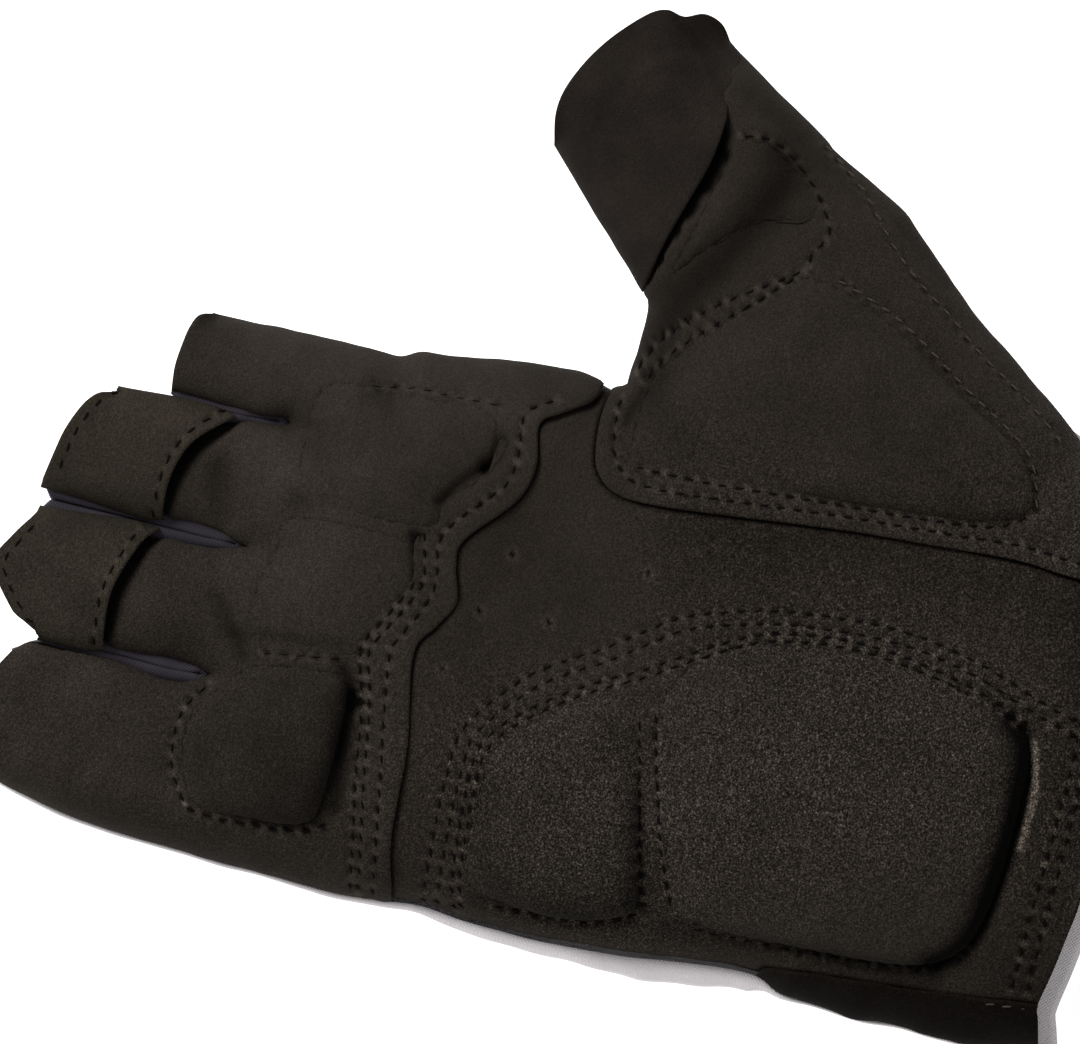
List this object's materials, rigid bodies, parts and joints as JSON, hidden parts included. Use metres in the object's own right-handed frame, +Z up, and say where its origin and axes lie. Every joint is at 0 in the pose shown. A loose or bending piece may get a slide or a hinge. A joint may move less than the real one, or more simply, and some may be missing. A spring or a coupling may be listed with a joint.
{
  "type": "cycling glove",
  "caption": "Fingerless right-hand cycling glove lying palm up, with lapped suede palm panels, raised pads, stretch gussets between the fingers and pull tabs on two fingertips.",
  "frame": {"origin": "under the middle of the palm, on the flat back of the hand that the glove rests on", "axes": "+X across the palm to the thumb, +Y from the wrist to the fingertips, +Z up out of the palm"},
  "size_m": [0.1535, 0.1851, 0.0291],
  "materials": {
    "palm_suede": "matte brushed suede, near black brown",
    "finger_suede": "matte brushed suede, dark brown",
    "thumb_suede": "matte brushed suede, dark brown",
    "strip_suede": "matte suede, near black",
    "pad_suede": "matte brushed suede over foam",
    "tab_suede": "matte brushed suede, stitched hem",
    "gusset_knit": "fine stretch knit, dark navy",
    "back_knit": "smooth stretch knit, pale grey"
  },
  "bodies": {
    "root": {"palm_panel": "palm_suede", "finger_panel": "finger_suede", "thumb_panel": "thumb_suede", "thumb_end": "thumb_suede", "cuff_side_strip": "strip_suede", "back_panel": "back_knit", "pad_heel_large": "pad_suede", "pad_heel_small": "pad_suede", "pad_thenar": "pad_suede", "pad_thumb_web": "pad_suede", "pad_knuckle_little": "pad_suede", "pad_knuckle_ring": "pad_suede", "pad_knuckle_index": "pad_suede", "pull_tab_ring": "tab_suede", "pull_tab_middle": "tab_suede", "gusset_ring_little": "gusset_knit", "gusset_middle_ring": "gusset_knit", "gusset_index_middle": "gusset_knit"}
  },
  "joints": []
}
